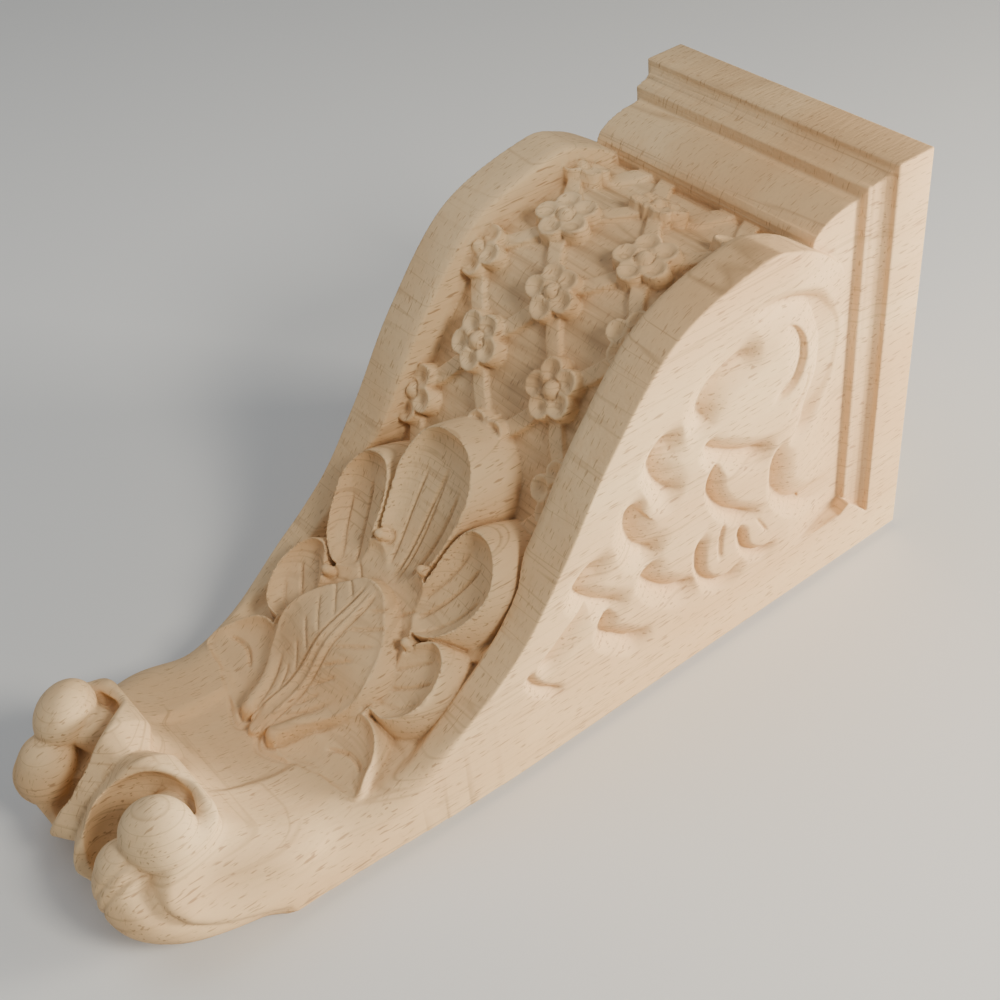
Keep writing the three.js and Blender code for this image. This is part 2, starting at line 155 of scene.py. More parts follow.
def quarter(start, end, hollow, steps=8):
    """Points on a quarter round, hollow for a cove and full for a bullnose."""
    points = []
    for i in range(1, steps):
        angle = i / steps * math.pi / 2
        a = 1 - math.cos(angle) if hollow else math.sin(angle)
        b = math.sin(angle) if hollow else 1 - math.cos(angle)
        points.append((start[0] + (end[0] - start[0]) * b, start[1] + (end[1] - start[1]) * a))
    return points


# Cap: a plain fascia, a cove, a small step and a bullnose, with the back strip running down beside them
fascia = 20.0
chamfer = 0.6
fillet = 1.2
cove_foot = fascia + 10.7
step_foot = cove_foot + 1.6
body_top = step_foot + 24.7
body_half = half_width - 7.8
strip = 26.0
strip_fascia = 17.5
nose_back = 9
run_on = 9


def cap_edge(reach, cove_inset, step_inset):
    start = (reach - fillet, fascia)
    end = (reach - cove_inset, cove_foot)
    return [(reach, 0), (reach, fascia - chamfer), (reach - chamfer, fascia), start,
            *quarter(start, end, True), end, (reach - cove_inset - step_inset, step_foot)]


front_edge = closed_shape([(-run_on, 0), *cap_edge(depth, 7, 5.3), (-run_on, step_foot)])
side_edge = closed_shape([(-run_on, 0), *cap_edge(half_width, 4.8, 3), (-run_on, step_foot)])
cap_front = inside_of(front_edge, side_deep, side_low)
cap_side = inside_of(side_edge, plan_across, plan_low)
strip_edge = closed_shape([
    (-run_on, 0), (strip_fascia, 0), (strip_fascia, fascia),
    (strip_fascia + step_foot - fascia, step_foot), (strip, step_foot + 6),
    (strip, body_top + 5), (-run_on, body_top + 5)])
cap_strip = inside_of(strip_edge, side_deep, side_low)
nose_start = (depth - 12.3, step_foot)
nose_end = (depth - 23, body_top)
nose_edge = closed_shape([
    (-run_on, cove_foot), (nose_start[0] - 0.4, cove_foot), nose_start,
    *quarter(nose_start, nose_end, False), nose_end, (nose_end[0] - nose_back, body_top + 1),
    (-run_on, body_top + 1)])
cap_nose = inside_of(nose_edge, side_deep, side_low)

# The scroll outline of the front, from under the cap over the crest and down the sweep to the neck.
# The sweep is given as shares of the way from the neck out to the crest, and from the crest down.
crest = (depth - 11, body_top + 35)
neck = (28.5, height - 88)
sweep = [(0.914, 0.204), (0.681, 0.364), (0.429, 0.488), (0.216, 0.617), (0.033, 0.825)]
curl = [(nose_end[0] - 37, body_top - 26.5), (nose_end[0] - 29, body_top - 24),
        (nose_end[0] - 22, body_top - 21), (nose_end[0] - 12, body_top - 14.5)]
curve_pieces = 24
outline = flowing([
    *curl, nose_end, (crest[0] - 3, crest[1] - 19), crest,
    *[(neck[0] + (crest[0] - neck[0]) * out, crest[1] + (neck[1] - crest[1]) * down) for out, down in sweep],
    neck, (neck[0] + 4, neck[1] + 24), (neck[0] + 12, neck[1] + 36)], pieces=curve_pieces)
outline_steps = np.hypot(*np.diff(outline, axis=0).T)
outline_length = outline_steps.sum()
start_length = outline_steps[:len(curl) * curve_pieces].sum()
gap, side, share = distance_to(outline, side_deep, side_low)
front_gap = -gap * side
front_along = share * outline_length - start_length

# Front carving, as a height over the rails, for each place u across and v along the outline
fine = 0.4
along = np.arange(-12, outline_length, fine, dtype=np.float32)
u, v = np.meshgrid(across, along, indexing="ij")
relief = np.zeros(u.shape, np.float32)

# The panel between the rails is sunk. It runs on round the leaf, wider and shallower, down to the neck.
panel_half = half_width - 22
panel_sink = 13.0
panel_end = 212.0
sink = (panel_sink - 6.5 * ease(panel_end - 8, panel_end + 14, v) - 2.5 * ease(235, 262, v)
        - 4 * ease(262, 300, v))
sunk_half = panel_half + 5.5 * ease(panel_end - 34, panel_end - 16, v) + 5 * ease(240, 285, v)
sink = sink * (0.35 + 0.65 * ease(-2, 12, v))
soft = 1.0 + 2.5 * ease(panel_end - 20, panel_end + 20, v)
in_panel = 1 - ease(-1, 1, (u - sunk_half) / soft)
relief = relief - sink * in_panel
rail_slope = ease(panel_half + 5, panel_half - 1, u) * 1.1 * (v < panel_end)
relief = relief - rail_slope * (1 - in_panel)

# Flowers and ribbons on the panel: five dished petals round a domed button, on a crossed lattice
chance = np.random.default_rng(5)
ribbon_rise = 2.4
ribbon_half = 3.7
ribbon_bow = 2.5
flower_step = 34.0
first_flower = 21.0
column_step = panel_half / 2
ribbons = np.full(u.shape, 99.0, np.float32)
for row in range(7):
    for column in range(-1, 4):
        if (row + column) % 2 == 0:
            for way in (-1, 1):
                start = (column * column_step, first_flower + row * flower_step)
                end = ((column + way) * column_step, start[1] - flower_step)
                middle = ((start[0] + end[0]) / 2 + ribbon_bow * way, (start[1] + end[1]) / 2)
                ribbon = flowing([start, middle, end], pieces=4)
                ribbons = np.minimum(ribbons, distance_to(ribbon, u, v)[0])
ribbon_shape = ribbon_rise * (1 - ease(ribbon_half - 0.5, ribbon_half + 0.5, ribbons))
relief = relief + ribbon_shape * in_panel

petal_ring = 8.0
petal_reach = 5.8
petal_rise = 6.6
petal_cup = 2.0
button_reach = 4.0
button_rise = 8.4
button_round = 3.0
button_moat = 1.6
for row in range(5):
    for column in range(-2, 3):
        if (row + column) % 2 == 0:
            spin = chance.uniform(0, 2 * math.pi)
            size = chance.uniform(0.96, 1.06)
            if column < 0:
                continue
            cu = column * column_step - 0.6
            cv = first_flower + row * flower_step
            reach = np.hypot(u - cu, v - cv)
            flower = np.full(u.shape, -20.0, np.float32)
            for petal in range(5):
                angle = spin + petal * 2 * math.pi / 5
                pu = cu + petal_ring * size * math.cos(angle)
                pv = cv + petal_ring * size * math.sin(angle)
                away = np.hypot(u - pu, v - pv) / petal_reach
                cup = petal_rise - petal_cup * (1 - ease(0.1, 0.92, away))
                petal_top = cup - 9 * ease(0.94, 1.16, away)
                flower = np.maximum(flower, petal_top)
            flower = flower - button_moat * (1 - ease(button_reach, button_reach + 1.2, reach))
            dome = button_rise - button_round * (reach / button_reach) ** 2
            flower = np.maximum(flower, dome - 8 * ease(button_reach * 0.95, button_reach * 1.2, reach))
            sits = (reach < 20) * in_panel
            relief = np.where(sits > 0.5, np.maximum(relief, flower - panel_sink), relief)

# The palm leaf: seven spoon-hollowed lobes that run together below, fanned round a bulging front leaf.
# Outside the crisp edge of the hollows it falls away to the ground. Four lobes are listed, as the block
# is worked out on one half, and the last shape is the ground that the front leaf stands on.
dishes = [
    [(0, 156), (9, 157.5), (16, 164), (20, 177), (18.6, 193), (15, 208), (9, 222), (0, 228),
     (-9, 222), (-15, 208), (-18.6, 193), (-20, 177), (-16, 164), (-9, 157.5)],
    [(29, 184), (38.5, 183.5), (45, 189), (49, 199), (47, 211), (42.5, 221), (35, 229), (24, 232),
     (17, 226), (20.5, 210), (23, 195)],
    [(39, 231), (47, 234), (51, 243), (51, 253), (47, 261), (40, 266), (30, 264), (27, 252), (31, 240)],
    [(14, 303), (18, 291), (24, 280), (30, 274), (36, 272), (43, 274.5), (49, 281), (52, 287), (55, 295),
     (46, 298), (34, 299), (24, 303)],
    [(0, 214), (12, 213), (19, 217), (25, 232), (29, 243), (33, 252), (33, 266), (26, 278), (0, 280),
     (-26, 278), (-19, 217), (-12, 213)],
]
dish_depths = [6.6, 6.4, 6.0, 4.2, 5.6]
leaf_rise = 9.5 - 5.5 * ease(262, 290, v) - 3.5 * ease(288, 300, v)
flank_width = 3.2
edge_shift = 1.0
edges = []
spoon = np.zeros(u.shape, np.float32)
for points, dish_depth in zip(dishes, dish_depths):
    edge = inside_of(flowing(points, closed=True), u, v) - edge_shift
    edges.append(edge)
    spoon = np.maximum(spoon, dish_depth * (1 - np.exp(np.minimum(edge, 0) / 2.8)))
nearest = np.sort(np.stack(edges), axis=0)
plateau = nearest[0]
leaf = leaf_rise - spoon - 10 * np.clip(plateau / flank_width, 0, 6) ** 1.15
seam = nearest[1] - nearest[0]
leaf = leaf - 2.4 * np.exp(-(seam / 1.2) ** 2) * (plateau > 0) * (plateau < 8) * (v < 262)
relief = np.where(plateau < 0, leaf, np.maximum(relief, leaf))
bead_reach = 2.6
for bead_u, bead_v in [(14.6, 210), (28.5, 237.5)]:
    bead = np.hypot(u - bead_u, v - bead_v) / bead_reach
    relief = relief - 1.2 * np.exp(-((bead - 1.25) / 0.3) ** 2)
    bead_top = 8.2 + 3.2 * np.sqrt(np.clip(1 - bead ** 2, 0, 1))
    relief = np.where(bead < 1, np.maximum(relief, bead_top), relief)

vein_depth = 1.2
vein_half = 0.65
veins = [
    ([(1, 226), (1.2, 198), (0, 166)], 1.3), ([(6, 222), (10, 196), (10.5, 172)], 1.1),
    ([(-6, 222), (-10, 198), (-10.5, 180)], 1.0), ([(21, 230), (30, 213), (38, 192)], 1.3),
    ([(19, 222), (25, 206), (29.5, 190)], 1.0), ([(26, 234), (38, 219), (45, 203)], 1.0),
    ([(29, 258), (39, 251), (48, 242)], 1.1), ([(29, 250), (35, 243), (42, 236)], 0.8),
    ([(31, 263), (41, 260), (48, 253)], 0.8), ([(28, 291), (37, 286), (45, 286), (50, 289)], 1.4),
]
for points, cut in veins:
    gap, side, share = distance_to(flowing(points), u, v)
    starts = ease(0, 0.15, share)
    ends = 1 - ease(0.8, 1, share)
    relief = relief - vein_depth * cut * np.exp(-(gap / vein_half) ** 2) * starts * ends

# The front leaf: a bulging leaf with a ribbed middle vein, crisp edges and bevelled flanks
bud_outline = [(0, 226), (10, 228.5), (19, 235), (27, 244.5), (31.8, 256), (32.5, 269), (28, 279), (20, 288),
               (12, 297), (6, 304), (0, 309), (-6, 304), (-12, 297), (-20, 288), (-28, 279), (-32.5, 269),
               (-31.8, 256), (-27, 244.5), (-19, 235), (-10, 228.5)]
bud_edge = inside_of(flowing(bud_outline, closed=True), u, v)
bud_half = 28 * np.sqrt(np.clip(1 - ((v - 264) / 44) ** 2, 0.02, 1))
bud_crown = 12.5 + 4.5 * ease(228, 258, v) - 10.0 * ease(256, 292, v) - 3.5 * ease(288, 308, v)
bud_flank = 0.9 + 3.0 * ease(226, 236, v) * (1 - ease(270, 290, v))
bud_drop = np.clip((bud_edge + bud_flank) / bud_flank, 0, 4)
bud_dish = 1.5 * (1 - np.exp(np.minimum(bud_edge + bud_flank, 0) / 1.8))
bud = bud_crown - 3.0 * np.clip(u / bud_half, 0, 1) ** 1.6 - bud_dish - 8 * bud_drop ** 1.1
relief = np.where(bud_edge < -bud_flank, bud, np.maximum(relief, bud))
rib_at = 1.5 + 1.7 * np.clip((v - 232) / 72, 0, 1)
rib_reach = ease(228, 236, v) * (1 - ease(298, 306, v))
relief = relief + 1.2 * np.exp(-((u - rib_at) / 1.0) ** 2) * rib_reach
relief = relief - 1.1 * np.exp(-((u - rib_at - 2.0) / 0.6) ** 2) * rib_reach
for i in range(6):
    start = (5.5 - 0.4 * i, 290 - i * 10)
    end = (min(12 + 3.2 * i, 22), start[1] - 12 - 0.7 * i)
    middle = ((start[0] + end[0]) / 2, start[1] - 7)
    gap, side, share = distance_to(flowing([start, middle, end]), u, v)
    starts = ease(0, 0.2, share)
    ends = 1 - ease(0.75, 1, share)
    relief = relief - vein_depth * np.exp(-(gap / 0.6) ** 2) * starts * ends

# A rolled edge runs down under each side of the front leaf to a knob, and a gouged line wraps round the
# knob and out along the lower edge of the leaf
roll = flowing([(30, 270), (23.5, 277), (18, 285), (13, 293.5), (9.6, 302.5)])
gap, side, share = distance_to(roll, u, v)
roll_half = 3.1 - 0.3 * share
roll_top = 5.4 - 2.8 * share + roll_half * np.sqrt(np.clip(1 - (gap / roll_half) ** 2, 0, 1)) - 1
relief = np.where(gap < roll_half, np.maximum(relief, roll_top), relief)
relief = relief - 1.5 * np.exp(-((gap - roll_half - 0.9) / 0.9) ** 2) * ease(0.25, 0.5, share)
knob_reach = 3.4
knob = np.hypot(u - 9.4, v - 302.5) / knob_reach
knob_top = 1.8 + 3.0 * np.sqrt(np.clip(1 - knob ** 2, 0, 1))
relief = np.where(knob < 1, np.maximum(relief, knob_top), relief)
wrap = flowing([(3.4, 299), (3.6, 306), (8.5, 310), (15.5, 308), (24, 304), (34, 300), (46, 296)])
gap, side, share = distance_to(wrap, u, v)
relief = relief - 1.3 * np.exp(-(gap / 0.9) ** 2) * (1 - ease(0.7, 1, share))

# The neck below the leaf is hollowed in the middle, which leaves a raised tongue on each side
hollow_half = 25.0
neck_hollow = 3.4
hollow_edge = hollow_half - 3 * ease(330, 350, v)
relief = relief - neck_hollow * ease(299, 310, v) * (1 - ease(-1.6, 3.2, u - hollow_edge))

# Side carving: gouge strokes, each a valley with a steep side towards the raised form it shapes. Each
# has its line, a place on the raised form, its depth before scaling, and how far the steep side and the
# gentle side reach.
side_map = np.zeros(side_deep.shape, np.float32)
strokes = [
    ([(159, 100), (157, 86), (153, 71), (145, 57), (132, 48), (122, 45), (106, 47), (96, 54), (87, 63),
      (82, 78)], (110, 30), 4.6, 4.5, 17),
    ([(147, 80), (140, 70), (131, 65), (122, 65), (114, 71), (110.5, 85)], (100, 60), 2.8, 1.6, 13),
    ([(118, 59), (107, 63), (99, 75)], (95, 60), 1.2, 1.0, 3.0),
    ([(142, 88), (139, 103), (134, 114), (126, 119), (116, 114)], (120, 95), 5.6, 8.5, 15),
    ([(114, 113), (106, 115), (98, 106), (91, 93), (88, 79)], (112, 90), 6.0, 7.0, 9),
    ([(122, 128), (121, 138), (115, 144), (107, 143), (99, 138), (94, 129)], (105, 125), 5.8, 9.0, 11),
    ([(100, 148), (99, 154), (92, 157), (84, 156), (77, 152), (69, 141)], (84, 138), 5.8, 9.0, 12),
    ([(70, 143), (64, 147), (59, 150), (50, 143), (43, 133), (42, 120)], (58, 128), 5.4, 7.0, 9),
    ([(84, 166), (82, 176), (75, 184), (66, 178), (59, 169), (54, 159)], (72, 163), 5.2, 7.0, 10),
    ([(58, 164), (53, 171), (45, 173), (37, 165), (32, 158), (34, 148)], (48, 153), 4.8, 6.0, 8),
    ([(97, 104), (94, 113), (84, 115), (72, 109), (63, 99), (56, 86)], (78, 90), 5.0, 5.5, 6),
    ([(60, 99), (49, 98), (41, 95), (35, 86), (36, 76)], (52, 82), 3.6, 3.0, 5),
    ([(66, 108), (56, 111), (45, 111)], (52, 104), 1.6, 1.6, 2.4),
    ([(68, 118), (56, 122), (43, 121), (34, 113), (33, 104), (40, 97)], (50, 108), 3.6, 3.5, 6),
    ([(57, 91), (45, 84)], (50, 80), 1.2, 1.2, 1.2),
    ([(91, 73), (82, 77), (73, 78), (62, 77), (51, 68), (43, 53), (41, 38)], (62, 52), 5.4, 8.0, 8),
    ([(67, 172), (63, 186), (54, 199), (48, 209)], (75, 190), 4.2, 3.0, 10),
    ([(51, 208), (46, 211), (38, 206), (31, 196)], (48, 195), 2.8, 3.0, 5),
]
stroke_scale = 1.2
for points, raised, cut, steep, gentle in strokes:
    curve = flowing(points)
    gap, side, share = distance_to(curve, side_deep, side_low)
    here = distance_to(curve, np.array([[raised[0]]], float), np.array([[raised[1]]], float))[1][0, 0]
    ends = 0.08 + 0.92 * ease(0, 0.22, share) * (1 - ease(0.78, 1, share))
    rounded = np.clip(1 - gap / (1.35 * steep), 0, 1) ** 1.5
    ramp = np.clip(1 - gap / gentle, 0, 1) ** 1.6
    side_map = np.minimum(side_map, -stroke_scale * cut * ends * np.where(side == here, rounded, ramp))

under_cap = 7.8 * (1 - ease(step_foot, step_foot + 44, side_low)) * ease(25, 28.5, side_deep)
tail_taper = 5.0 * ease(height - 170, height - 60, side_low)

# At the foot the side is scooped beside the scroll, and ends in a rounded tongue with a curved step below
scoop = 18 * np.exp(-((side_deep - 46) / 22) ** 2 - ((side_low - height + 38) / 26) ** 2)
tongue_step = 5.0
tongue_round = 5.0
tongue_line = flowing([
    (48, height - 26), (41, height - 22.5), (37, height - 20), (30, height - 19.5), (25, height - 22),
    (20, height - 26), (13, height - 36), (8, height - 48), (4, height - 60)])
tongue = closed_shape([
    *[tuple(point) for point in tongue_line], (-30, height - 70), (-30, -30), (depth + 30, -30),
    (depth + 30, height - 60), (90, height - 40)])
past_tongue = inside_of(tongue, side_deep, side_low)
tongue_fall = tongue_step * (1 - np.sqrt(1 - np.clip(1 + past_tongue / tongue_round, 0, 1) ** 2))
tongue_fall = (tongue_fall + 6 * ease(0, 8, past_tongue)) * ease(height - 66, height - 42, side_low)
side_reach = half_width - under_cap - tail_taper + side_map - scoop - tongue_fall

# Foot: the neck swells into a pair of scrolls. Each has a band with a sharp ridge, a deep cove and a
# ball eye that stands out sideways, and the back strip curls forward under the eye as a leafy lobe.
field_shape = (len(across), len(deep), len(low))
wide = across[:, None, None]
far = deep[None, :, None]
down = low[None, None, :]


def rounded_both(a, b, radius):
    """Wood where both are wood, with the corner between them rounded."""
    corner = np.hypot(np.maximum(a + radius, 0), np.maximum(b + radius, 0))
    return np.minimum(np.maximum(a, b), -radius) + corner


def blended(a, b, reach):
    """Wood where either is wood, with a soft fillet between them."""
    mix = np.clip(0.5 + 0.5 * (b - a) / reach, 0, 1)
    return b + (a - b) * mix - reach * mix * (1 - mix)


relief_place = np.clip((front_along - along[0]) / fine, 0, len(along) - 1.001)
before = relief_place.astype(int)
blend_share = (relief_place - before).astype(np.float32)
front = np.empty(field_shape, np.float32)
for i in range(len(across)):
    row = relief[i]
    front[i] = front_gap - (row[before] * (1 - blend_share) + row[before + 1] * blend_share)
side_field = wide - side_reach[None, :, :]
corner = (0.8 + 22 * ease(height - 150, height - 80, low))[None, None, :]
wood = rounded_both(front, side_field, corner)
wood = np.maximum(wood, step_foot - down)

foot_from = int(np.searchsorted(low, height - 100))
foot_down = down[:, :, foot_from:]
foot_bottom = round(height)


def above_bottom(path):
    """A path given as across, deep, up from the lowest point of the foot, and radius."""
    return [(at_across, at_deep, foot_bottom - rise, radius) for at_across, at_deep, rise, radius in path]


def beyond(place, way):
    """How far each spot of the foot lies beyond a place, in one direction."""
    return (wide - place[0]) * way[0] + (far - place[1]) * way[1] + (foot_down - place[2]) * way[2]


def squared_from(place):
    return (wide - place[0]) ** 2 + (far - place[1]) ** 2 + (foot_down - place[2]) ** 2


foot_outline = flowing([
    (-8, height - 104), (20, height - 106), (27, height - 96), (29, height - 84), (33, height - 66),
    (41, height - 53), (50, height - 52), (57, height - 43), (57.5, height - 34), (53, height - 26),
    (47, height - 17), (38, height - 10), (30, height - 4), (22, height - 4), (16.5, height - 14),
    (10, height - 29), (4, height - 43), (0.8, height - 54), (-0.8, height - 66), (-2, height - 82),
    (-8, height - 90)], closed=True, pieces=16)
foot_edge = inside_of(foot_outline, side_deep[:, foot_from:], side_low[:, foot_from:])[None, :, :]
valley_depth = 6.0
valley_half = 11
valley = valley_depth * np.clip(1 - wide / valley_half, 0, 1) * ease(height - 62, height - 48, foot_down)
neck_line = neck_hollow * (1 - ease(hollow_half - 4, hollow_half + 1, wide))
band = foot_edge + valley + neck_line * (1 - ease(height - 66, height - 52, foot_down))

# The face of the scroll is a plane that looks sideways, down and out, and climbs to the flank beside the eye
eye_at = np.array([38.0, 49.0, height - 30])
face = np.array([0.698, 0.506, 0.506])
face_at = np.array([25.0, 33.0, height - 30])
to_flank = np.array([0.77, -0.595, -0.234])
tilt = beyond(face_at, face)
beside = beyond(eye_at, to_flank)
face_climb = 30 * ease(-8, 20, beside)
scroll = rounded_both(band, tilt - face_climb, 1.6 + 4 * ease(38, 50, wide) + 8 * ease(-2, 12, beside))
flank = wide - side_reach[None, :, foot_from:]
scroll = rounded_both(scroll, flank, 1 + 13 * ease(12, 34, far))

# The cove is a gouge's path round the eye
cove_floor = [(37, 41, 41, 0.5), (35, 45, 46, 1.4), (31, 46, 47, 2.5), (21, 47, 44, 6.0), (14, 45, 39, 8.5),
              (10, 41, 31, 9.5), (9, 36, 25, 9.5), (10, 31, 21, 9), (13, 25, 18, 8)]
cove = np.full((len(across), len(deep), len(low) - foot_from), 99.0, np.float32)
for at_across, at_deep, at_down, radius in flowing(above_bottom(cove_floor), pieces=5):
    centre = np.array([at_across, at_deep, at_down]) + face * (radius - 0.5)
    out = np.maximum(beyond(centre, face), 0)
    cove = np.minimum(cove, np.sqrt(np.maximum(squared_from(centre) - out ** 2, 0)) - radius)
scroll = rounded_both(scroll, -cove, 0.6)

# The eye is a flattened ball on a short stalk
eye_thick = 11.3
eye_wide = 14.3
stalk_half = 0.62 * eye_wide
out = beyond(eye_at, face)
across_squared = np.maximum(squared_from(eye_at) - out ** 2, 0)
eye_ball = (np.sqrt((out / eye_thick) ** 2 + across_squared / eye_wide ** 2) - 1) * eye_thick
stalk = np.maximum(np.sqrt(across_squared) - stalk_half, np.abs(out + eye_thick) - eye_thick)
eye_ball = np.minimum(eye_ball, stalk)
scroll = blended(scroll, eye_ball, 1.5 + 9 * ease(2, 12, beside))

# The lobe under the eye, a path of balls with two incised lines round its end
lobe_path = [(55, 6, 56, 7), (53, 11, 38.5, 8), (50, 15, 26.5, 9), (45, 19.5, 18.5, 10.5),
             (40, 24, 14.5, 11.5), (34.5, 30, 14, 12), (33, 36, 16.5, 11.5)]
lobe = np.full(cove.shape, 99.0, np.float32)
for at_across, at_deep, at_down, radius in flowing(above_bottom(lobe_path), pieces=9):
    lobe = np.minimum(lobe, np.sqrt(squared_from((at_across, at_deep, at_down))) - radius)
round_lobe = 0.93 * (wide - 33) - 0.35 * (far - 36)
for ring_at in (2.4, 7.0):
    incised = 0.9 * np.exp(-((round_lobe - ring_at) / 0.9) ** 2)
    lobe = lobe + incised * ease(foot_bottom - 24, foot_bottom - 14, foot_down)
scroll = blended(scroll, lobe, 1.6)
takes_over = ease(height - 94, height - 60, foot_down)
wood[:, :, foot_from:] = wood[:, :, foot_from:] * (1 - takes_over) + scroll * takes_over

# The cap, its strip and its nose are added, and everything is cut to the block
cap = np.maximum(cap_front[None, :, :], cap_side[:, None, :])
cap = np.minimum(cap, np.maximum(cap_strip[None, :, :], wide - half_width))
cap = np.minimum(cap, np.maximum(cap_nose[None, :, :], wide - body_half))
wood = np.minimum(wood, cap)
for plane in (-far, -down, wide - half_width, far - depth, down - height):
    wood = np.maximum(wood, plane)


def spread(amount, reach):
    """The mean of the amount in a box round each place."""
    for axis in range(3):
        pad = [(0, 0)] * 3
        pad[axis] = (reach + 1, reach)
        running = np.cumsum(np.pad(amount, pad, mode="edge"), axis=axis, dtype=np.float32)
        ahead = np.take(running, range(2 * reach + 1, running.shape[axis]), axis=axis)
        behind = np.take(running, range(0, running.shape[axis] - 2 * reach - 1), axis=axis)
        amount = (ahead - behind) / (2 * reach + 1)
    return amount


# How much wood lies round each place tells a hollow from a sharp edge; the material below uses it to paint
# shade into the hollows
full = np.concatenate([wood[:0:-1], wood], axis=0)
box_reach = 5
fullness = spread((full < 0).astype(np.float32), box_reach)
grid_lines = [np.concatenate([-across[:0:-1], across]), deep, low]


def skin(field):
    """Corners and faces of the surface where the field is zero."""
    inside = field < 0
    counted = np.zeros(tuple(n - 1 for n in field.shape), np.int8)
    corners = [(a, b, c) for a in (0, 1) for b in (0, 1) for c in (0, 1)]
    for a, b, c in corners:
        counted += inside[a:a + counted.shape[0], b:b + counted.shape[1], c:c + counted.shape[2]]
    cells = np.argwhere((counted > 0) & (counted < 8))
    number = np.full(counted.shape, -1, np.int32)
    number[tuple(cells.T)] = np.arange(len(cells))
    total = np.zeros((len(cells), 3), np.float32)
    crossings = np.zeros((len(cells), 1), np.float32)
    for start in corners:
        for axis in range(3):
            if start[axis] == 1:
                continue
            end = list(start)
            end[axis] = 1
            first = field[tuple((cells + start).T)]
            last = field[tuple((cells + end).T)]
            cut = ((first < 0) != (last < 0))
            share = np.where(cut, first / np.where(cut, first - last, 1), 0)
            spot = np.tile(np.array(start, np.float32), (len(cells), 1))
            spot[:, axis] = share
            total += spot * cut[:, None]
            crossings += cut[:, None]
    points = cells + total / crossings
    faces = []
    for axis in range(3):
        one, two = [(1, 2), (2, 0), (0, 1)][axis]
        ahead = np.take(inside, range(1, field.shape[axis]), axis=axis)
        behind = np.take(inside, range(0, field.shape[axis] - 1), axis=axis)
        edges = np.argwhere(ahead != behind)
        leaves = behind[tuple(edges.T)]
        ring = []
        for shift_one, shift_two in [(0, 0), (-1, 0), (-1, -1), (0, -1)]:
            cell = edges.copy()
            cell[:, one] += shift_one
            cell[:, two] += shift_two
            ring.append(number[tuple(cell.T)])
        quads = np.stack(ring, axis=1)
        faces.append(np.where(leaves[:, None], quads, quads[:, ::-1]))
    return points, np.concatenate(faces)


points, quads = skin(full)
places = np.column_stack([
    np.interp(points[:, i], np.arange(len(line)), line) for i, line in enumerate(grid_lines)])
mesh = bpy.data.meshes.new("carved_corbel")
mesh.vertices.add(len(places))
metres = np.column_stack([places[:, 0], -places[:, 1], top - places[:, 2]]) * 0.001
mesh.vertices.foreach_set("co", metres.astype(np.float32).ravel())
mesh.loops.add(quads.size)
mesh.loops.foreach_set("vertex_index", quads.ravel())
mesh.polygons.add(len(quads))
mesh.polygons.foreach_set("loop_start", np.arange(0, quads.size, 4, dtype=np.int32))
mesh.update(calc_edges=True)
mesh.validate()
piece = bpy.data.objects.new("carved_corbel", mesh)
bpy.context.scene.collection.objects.link(piece)

most_triangles = 196000
thin = piece.modifiers.new("thin", "DECIMATE")
thin.ratio = most_triangles / (2 * len(quads))
bpy.context.view_layer.objects.active = piece
piece.select_set(True)
bpy.ops.object.modifier_apply(modifier="thin")
mesh = piece.data
mesh.shade_smooth()
spots = np.empty(len(mesh.vertices) * 3, np.float32)
mesh.vertices.foreach_get("co", spots)
spots = spots.reshape(-1, 3) * np.array([1000, -1000, -1000]) + np.array([0, 0, top])
index = [
    np.rint(np.interp(spots[:, i], line, np.arange(len(line)))).astype(int)
    for i, line in enumerate(grid_lines)]
# Each vertex keeps how much wood lies round it, which the material turns into painted shade in the hollows
hollow = mesh.attributes.new("hollow", "FLOAT", "POINT")
hollow.data.foreach_set("value", fullness[tuple(index)].astype(np.float32))

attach(piece, "root")
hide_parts("corbel")

# Beech: pale pinkish tan, with short dark flecks along the grain, faint growth lines across it, and
# painted shade in a brown like end grain, which darkens the recesses.
beech = bpy.data.materials.new("beech")
beech.use_nodes = True
nodes = beech.node_tree.nodes
links = beech.node_tree.links
shader = nodes["Principled BSDF"]
shader.inputs["Roughness"].default_value = 0.72
shader.inputs["Specular IOR Level"].default_value = 0.3
place = nodes.new("ShaderNodeTexCoord")


def noise(scale, detail=3.0):
    mapping = nodes.new("ShaderNodeMapping")
    mapping.inputs["Scale"].default_value = scale
    links.new(place.outputs["Object"], mapping.inputs["Vector"])
    texture = nodes.new("ShaderNodeTexNoise")
    texture.inputs["Scale"].default_value = 1.0
    texture.inputs["Detail"].default_value = detail
    links.new(mapping.outputs["Vector"], texture.inputs["Vector"])
    return texture.outputs["Fac"]


def ranged(value, low_value, high_value, low_out=0.0, high_out=1.0):
    node = nodes.new("ShaderNodeMapRange")
    node.inputs["From Min"].default_value = low_value
    node.inputs["From Max"].default_value = high_value
    node.inputs["To Min"].default_value = low_out
    node.inputs["To Max"].default_value = high_out
    links.new(value, node.inputs["Value"])
    return node.outputs["Result"]


def mixed(share, first, second):
    node = nodes.new("ShaderNodeMix")
    node.data_type = "RGBA"
    for name, value in (("Factor", share), ("A", first), ("B", second)):
        if isinstance(value, tuple):
            node.inputs[name].default_value = value
        else:
            links.new(value, node.inputs[name])
    return node.outputs["Result"]


pale = (0.78, 0.55, 0.305, 1)
warm = (0.67, 0.42, 0.21, 1)
fleck_brown = (0.33, 0.185, 0.09, 1)
line_brown = (0.30, 0.17, 0.08, 1)
# Brown of the painted shade that darkens the recesses
painted_shade_brown = (0.40, 0.23, 0.11, 1)
tone = mixed(ranged(noise((14, 14, 3)), 0.38, 0.66), pale, warm)
streaks = mixed(ranged(noise((220, 220, 12)), 0.5, 0.75, 0.0, 0.35), tone, warm)


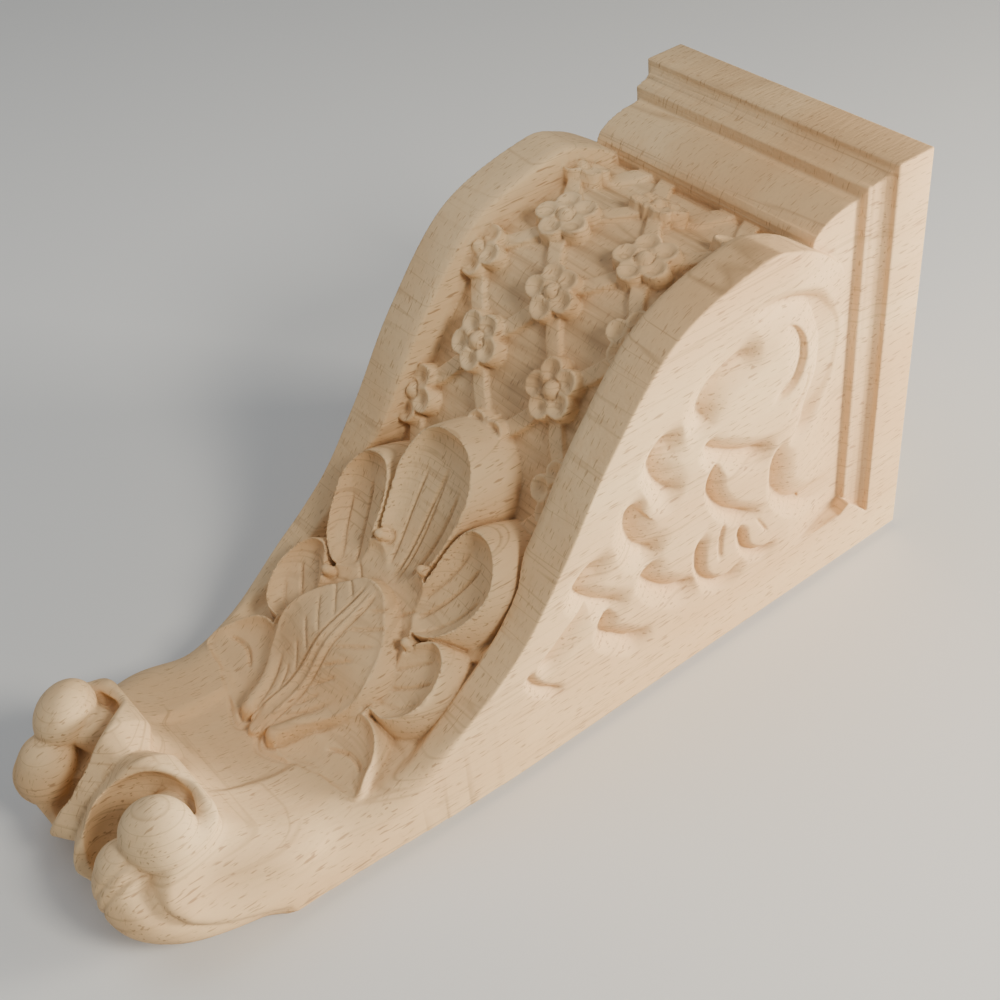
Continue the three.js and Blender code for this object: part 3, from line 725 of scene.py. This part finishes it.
def near_half(value, reach):
    """One where a noise passes its middle value, which draws thin wandering lines."""
    off = nodes.new("ShaderNodeMath")
    off.operation = "SUBTRACT"
    off.inputs[1].default_value = 0.5
    links.new(value, off.inputs[0])
    size = nodes.new("ShaderNodeMath")
    size.operation = "ABSOLUTE"
    links.new(off.outputs[0], size.inputs[0])
    return ranged(size.outputs[0], 0.0, reach, 1.0, 0.0)


rings = near_half(noise((6, 190, 4), 1.5), 0.022)
faint = ranged(noise((30, 30, 9)), 0.35, 0.65, 0.1, 0.5)
ring_share = nodes.new("ShaderNodeMath")
ring_share.operation = "MULTIPLY"
links.new(rings, ring_share.inputs[0])
links.new(faint, ring_share.inputs[1])
ring_lines = mixed(ring_share.outputs[0], streaks, line_brown)

# Flecks are short lines along the grain on the sides, and lie across it on the front
surface = nodes.new("ShaderNodeNewGeometry")
sideways = nodes.new("ShaderNodeSeparateXYZ")
links.new(surface.outputs["Normal"], sideways.inputs["Vector"])
facing = nodes.new("ShaderNodeMath")
facing.operation = "ABSOLUTE"
links.new(sideways.outputs["X"], facing.inputs[0])
on_side = ranged(facing.outputs[0], 0.55, 0.75)
side_flecks = ranged(noise((1100, 900, 130), 1.0), 0.61, 0.70, 0.0, 0.7)
front_flecks = ranged(noise((1500, 230, 230), 1.0), 0.62, 0.72, 0.0, 0.6)
side_wood = mixed(side_flecks, ring_lines, fleck_brown)
front_wood = mixed(front_flecks, ring_lines, fleck_brown)
flecked = mixed(on_side, front_wood, side_wood)
painted_shade_input = nodes.new("ShaderNodeAttribute")
painted_shade_input.attribute_name = "hollow"
# Painted shade: the more wood round a place, the more it is darkened towards the brown
painted_shade_share = ranged(painted_shade_input.outputs["Fac"], 0.56, 0.80, 0.0, 0.8)
final = mixed(painted_shade_share, flecked, painted_shade_brown)
links.new(final, shader.inputs["Base Color"])
bump = nodes.new("ShaderNodeBump")
bump.inputs["Strength"].default_value = 0.35
bump.inputs["Distance"].default_value = 0.0006
links.new(noise((700, 700, 90), 2.0), bump.inputs["Height"])
links.new(bump.outputs["Normal"], shader.inputs["Normal"])
mesh.materials.append(beech)

# Pale floor behind the back of the corbel, and soft studio light from the right of the picture
floor_mesh = bpy.data.meshes.new("floor")
reach = 3.0
behind = 0.004
floor_corners = [(-reach, behind, -reach), (reach, behind, -reach), (reach, behind, reach),
                 (-reach, behind, reach)]
floor_mesh.from_pydata(floor_corners, [], [(0, 1, 2, 3)])
floor = bpy.data.objects.new("floor", floor_mesh)
bpy.context.scene.collection.objects.link(floor)
paper = bpy.data.materials.new("paper")
paper.use_nodes = True
paper_shader = paper.node_tree.nodes["Principled BSDF"]
paper_shader.inputs["Base Color"].default_value = (0.78, 0.77, 0.75, 1)
paper_shader.inputs["Roughness"].default_value = 0.9
floor_mesh.materials.append(paper)

world = bpy.data.worlds.new("studio")
world.use_nodes = True
background = world.node_tree.nodes["Background"]
background.inputs["Color"].default_value = (0.9, 0.95, 1.0, 1)
background.inputs["Strength"].default_value = 0.22
bpy.context.scene.world = world


warm_light = (1.0, 0.95, 0.84)
cool_light = (0.9, 0.95, 1.0)
aim = Vector((0, -0.08, 0.0))


def soft_light(name, place_at, size, power, colour):
    data = bpy.data.lights.new(name, "AREA")
    data.size = size
    data.energy = power
    data.color = colour
    lamp = bpy.data.objects.new(name, data)
    lamp.location = place_at
    lamp.rotation_euler = (aim - Vector(place_at)).to_track_quat("-Z", "Y").to_euler()
    bpy.context.scene.collection.objects.link(lamp)


soft_light("key", place_at=(0.78, -0.2, 0.92), size=0.3, power=28, colour=warm_light)
soft_light("front_key", place_at=(0.95, -0.85, 0.12), size=0.3, power=10, colour=warm_light)
soft_light("fill", place_at=(-0.5, -1.0, -0.3), size=0.9, power=3.5, colour=cool_light)
